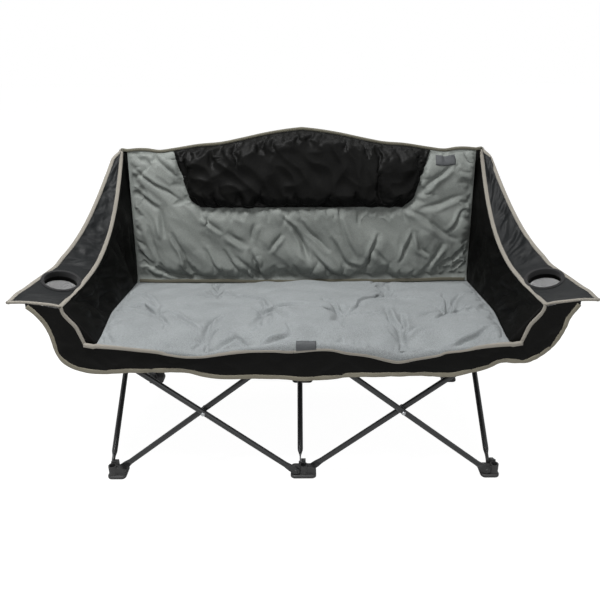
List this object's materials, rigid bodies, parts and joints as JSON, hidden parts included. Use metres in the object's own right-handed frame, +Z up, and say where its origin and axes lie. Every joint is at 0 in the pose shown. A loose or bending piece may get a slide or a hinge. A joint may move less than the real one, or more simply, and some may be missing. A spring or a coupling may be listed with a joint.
{
  "type": "folding camping loveseat",
  "caption": "Folding two-seat camping chair: steel scissor-cross frame, padded sling seat and back, head panel, and cloth arm rests with cup holders.",
  "frame": {"origin": "on the ground, under the centre of the front centre foot's socket", "axes": "+X to the right as seen from the front, +Y to the rear, +Z up"},
  "size_m": [1.5008, 0.6218, 0.909],
  "materials": {
    "tube": "satin dark grey powder coat",
    "rivet": "zinc-plated",
    "moulding": "matt black",
    "cloth": "black woven polyester with a slight sheen",
    "seat_cloth": "light blue-grey melange, padded",
    "back_cloth": "grey melange, padded",
    "binding": "dark grey bound ring"
  },
  "bodies": {
    "front_centre_foot": {"front_centre_foot": "moulding"},
    "left_arm_tube": {"left_arm_tube": "tube", "left_arm_tube_cap": "moulding", "front_left_rivet": "rivet", "left_side_panel": "cloth", "left_arm_rest": "cloth", "left_cup_rim": "binding", "left_cup_pouch": "cloth"},
    "right_arm_tube": {"right_arm_tube": "tube", "right_arm_tube_cap": "moulding", "front_right_rivet": "rivet", "right_side_panel": "cloth", "right_arm_rest": "cloth", "right_cup_rim": "binding", "right_cup_pouch": "cloth"},
    "front_left_rising_tube": {"front_left_rising_tube": "tube"},
    "front_right_falling_tube": {"front_right_falling_tube": "tube"},
    "front_left_foot": {"front_left_foot": "moulding"},
    "front_right_foot": {"front_right_foot": "moulding"},
    "front_left_hub": {"front_left_hub": "moulding"},
    "front_right_hub": {"front_right_hub": "moulding"},
    "front_centre_hub": {"front_centre_hub": "moulding", "front_valance": "cloth"},
    "left_side_tube_rearward": {"left_side_tube_rearward": "tube", "left_side_rivet": "rivet"},
    "left_side_tube_forward": {"left_side_tube_forward": "tube"},
    "rear_left_foot": {"rear_left_foot": "moulding", "left_upright": "tube", "left_upright_cap": "moulding", "left_back_pocket": "cloth"},
    "rear_left_slider": {"rear_left_slider": "moulding"},
    "centre_side_tube_rearward": {"centre_side_tube_rearward": "tube", "centre_side_rivet": "rivet", "seat_pad": "seat_cloth", "seat_sling": "cloth"},
    "centre_side_tube_forward": {"centre_side_tube_forward": "tube"},
    "rear_centre_foot": {"rear_centre_foot": "moulding", "centre_upright": "tube", "centre_upright_cap": "moulding", "centre_back_pocket": "cloth", "back_pad": "back_cloth", "back_lining": "cloth", "head_panel": "cloth"},
    "rear_centre_slider": {"rear_centre_slider": "moulding"},
    "right_side_tube_rearward": {"right_side_tube_rearward": "tube", "right_side_rivet": "rivet"},
    "right_side_tube_forward": {"right_side_tube_forward": "tube"},
    "rear_right_foot": {"rear_right_foot": "moulding", "right_upright": "tube", "right_upright_cap": "moulding", "right_back_pocket": "cloth"},
    "rear_right_slider": {"rear_right_slider": "moulding"},
    "rear_left_falling_tube": {"rear_left_falling_tube": "tube", "rear_left_rivet": "rivet"},
    "rear_left_rising_tube": {"rear_left_rising_tube": "tube"},
    "rear_right_falling_tube": {"rear_right_falling_tube": "tube", "rear_right_rivet": "rivet"},
    "rear_right_rising_tube": {"rear_right_rising_tube": "tube"}
  },
  "joints": [
    {"name": "fold", "type": "hinge", "parent": "front_centre_foot", "child": "left_arm_tube", "pos_m": [-0.022, -0.009, 0.024], "axis": [0, 1, 0], "range_deg": [0, 46], "deforming": ["seat_pad", "seat_sling", "back_pad", "back_lining", "head_panel", "front_valance", "left_side_panel", "left_arm_rest", "left_cup_rim", "left_cup_pouch", "right_side_panel", "right_arm_rest", "right_cup_rim", "right_cup_pouch"]},
    {"name": "right_arm_tube_foot_pin", "type": "hinge", "parent": "front_centre_foot", "child": "right_arm_tube", "pos_m": [0.022, 0.009, 0.024], "axis": [0, 1, 0], "range_deg": [-46, 0]},
    {"name": "front_left_crossing", "type": "hinge", "parent": "left_arm_tube", "child": "front_left_rising_tube", "pos_m": [-0.275, 0, 0.224], "axis": [0, 1, 0], "range_deg": [-92, 0]},
    {"name": "front_right_crossing", "type": "hinge", "parent": "right_arm_tube", "child": "front_right_falling_tube", "pos_m": [0.275, 0, 0.224], "axis": [0, 1, 0], "range_deg": [0, 92]},
    {"name": "front_left_foot_pin", "type": "hinge", "parent": "front_left_rising_tube", "child": "front_left_foot", "pos_m": [-0.528, 0.009, 0.024], "axis": [0, 1, 0], "range_deg": [0, 46]},
    {"name": "front_right_foot_pin", "type": "hinge", "parent": "front_right_falling_tube", "child": "front_right_foot", "pos_m": [0.528, -0.009, 0.024], "axis": [0, 1, 0], "range_deg": [-46, 0]},
    {"name": "front_left_hub_pin", "type": "hinge", "parent": "left_arm_tube", "child": "front_left_hub", "pos_m": [-0.528, -0.009, 0.424], "axis": [0, 1, 0], "range_deg": [-46, 0]},
    {"name": "front_right_hub_pin", "type": "hinge", "parent": "right_arm_tube", "child": "front_right_hub", "pos_m": [0.528, 0.009, 0.424], "axis": [0, 1, 0], "range_deg": [0, 46]},
    {"name": "front_centre_hub_pin", "type": "hinge", "parent": "front_left_rising_tube", "child": "front_centre_hub", "pos_m": [-0.022, 0.009, 0.424], "axis": [0, 1, 0], "range_deg": [0, 46]},
    {"name": "left_side_front_pin", "type": "hinge", "parent": "front_left_foot", "child": "left_side_tube_rearward", "pos_m": [-0.559, 0.03, 0.024], "axis": [1, 0, 0], "range_deg": [0, 46]},
    {"name": "left_side_crossing", "type": "hinge", "parent": "left_side_tube_rearward", "child": "left_side_tube_forward", "pos_m": [-0.55, 0.283, 0.224], "axis": [1, 0, 0], "range_deg": [-92, 0]},
    {"name": "left_side_rear_pin", "type": "hinge", "parent": "left_side_tube_forward", "child": "rear_left_foot", "pos_m": [-0.541, 0.536, 0.024], "axis": [1, 0, 0], "range_deg": [0, 46]},
    {"name": "left_slider_pin", "type": "hinge", "parent": "left_side_tube_rearward", "child": "rear_left_slider", "pos_m": [-0.559, 0.536, 0.424], "axis": [1, 0, 0], "range_deg": [-46, 0]},
    {"name": "centre_side_front_pin", "type": "hinge", "parent": "front_centre_foot", "child": "centre_side_tube_rearward", "pos_m": [-0.009, 0.03, 0.024], "axis": [1, 0, 0], "range_deg": [0, 46]},
    {"name": "centre_side_crossing", "type": "hinge", "parent": "centre_side_tube_rearward", "child": "centre_side_tube_forward", "pos_m": [0, 0.283, 0.224], "axis": [1, 0, 0], "range_deg": [-92, 0]},
    {"name": "centre_side_rear_pin", "type": "hinge", "parent": "centre_side_tube_forward", "child": "rear_centre_foot", "pos_m": [0.009, 0.536, 0.024], "axis": [1, 0, 0], "range_deg": [0, 46]},
    {"name": "centre_slider_pin", "type": "hinge", "parent": "centre_side_tube_rearward", "child": "rear_centre_slider", "pos_m": [-0.009, 0.536, 0.424], "axis": [1, 0, 0], "range_deg": [-46, 0]},
    {"name": "right_side_front_pin", "type": "hinge", "parent": "front_right_foot", "child": "right_side_tube_rearward", "pos_m": [0.541, 0.03, 0.024], "axis": [1, 0, 0], "range_deg": [0, 46]},
    {"name": "right_side_crossing", "type": "hinge", "parent": "right_side_tube_rearward", "child": "right_side_tube_forward", "pos_m": [0.55, 0.283, 0.224], "axis": [1, 0, 0], "range_deg": [-92, 0]},
    {"name": "right_side_rear_pin", "type": "hinge", "parent": "right_side_tube_forward", "child": "rear_right_foot", "pos_m": [0.559, 0.536, 0.024], "axis": [1, 0, 0], "range_deg": [0, 46]},
    {"name": "right_slider_pin", "type": "hinge", "parent": "right_side_tube_rearward", "child": "rear_right_slider", "pos_m": [0.541, 0.536, 0.424], "axis": [1, 0, 0], "range_deg": [-46, 0]},
    {"name": "rear_left_rising_pin", "type": "hinge", "parent": "rear_left_foot", "child": "rear_left_rising_tube", "pos_m": [-0.528, 0.575, 0.024], "axis": [0, 1, 0], "range_deg": [-46, 0]},
    {"name": "rear_left_falling_pin", "type": "hinge", "parent": "rear_centre_foot", "child": "rear_left_falling_tube", "pos_m": [-0.022, 0.557, 0.024], "axis": [0, 1, 0], "range_deg": [0, 46]},
    {"name": "rear_right_rising_pin", "type": "hinge", "parent": "rear_centre_foot", "child": "rear_right_rising_tube", "pos_m": [0.022, 0.575, 0.024], "axis": [0, 1, 0], "range_deg": [-46, 0]},
    {"name": "rear_right_falling_pin", "type": "hinge", "parent": "rear_right_foot", "child": "rear_right_falling_tube", "pos_m": [0.528, 0.557, 0.024], "axis": [0, 1, 0], "range_deg": [0, 46]}
  ],
  "couplings": [
    {"joint": "right_arm_tube_foot_pin", "follows": "fold", "ratio": -1},
    {"joint": "front_left_crossing", "follows": "fold", "ratio": -2},
    {"joint": "front_right_crossing", "follows": "fold", "ratio": 2},
    {"joint": "front_left_foot_pin", "follows": "fold", "ratio": 1},
    {"joint": "front_right_foot_pin", "follows": "fold", "ratio": -1},
    {"joint": "front_left_hub_pin", "follows": "fold", "ratio": -1},
    {"joint": "front_right_hub_pin", "follows": "fold", "ratio": 1},
    {"joint": "front_centre_hub_pin", "follows": "fold", "ratio": 1},
    {"joint": "left_side_front_pin", "follows": "fold", "ratio": 1},
    {"joint": "left_side_crossing", "follows": "fold", "ratio": -2},
    {"joint": "left_side_rear_pin", "follows": "fold", "ratio": 1},
    {"joint": "left_slider_pin", "follows": "fold", "ratio": -1},
    {"joint": "centre_side_front_pin", "follows": "fold", "ratio": 1},
    {"joint": "centre_side_crossing", "follows": "fold", "ratio": -2},
    {"joint": "centre_side_rear_pin", "follows": "fold", "ratio": 1},
    {"joint": "centre_slider_pin", "follows": "fold", "ratio": -1},
    {"joint": "right_side_front_pin", "follows": "fold", "ratio": 1},
    {"joint": "right_side_crossing", "follows": "fold", "ratio": -2},
    {"joint": "right_side_rear_pin", "follows": "fold", "ratio": 1},
    {"joint": "right_slider_pin", "follows": "fold", "ratio": -1},
    {"joint": "rear_left_rising_pin", "follows": "fold", "ratio": -1},
    {"joint": "rear_left_falling_pin", "follows": "fold", "ratio": 1},
    {"joint": "rear_right_rising_pin", "follows": "fold", "ratio": -1},
    {"joint": "rear_right_falling_pin", "follows": "fold", "ratio": 1}
  ]
}
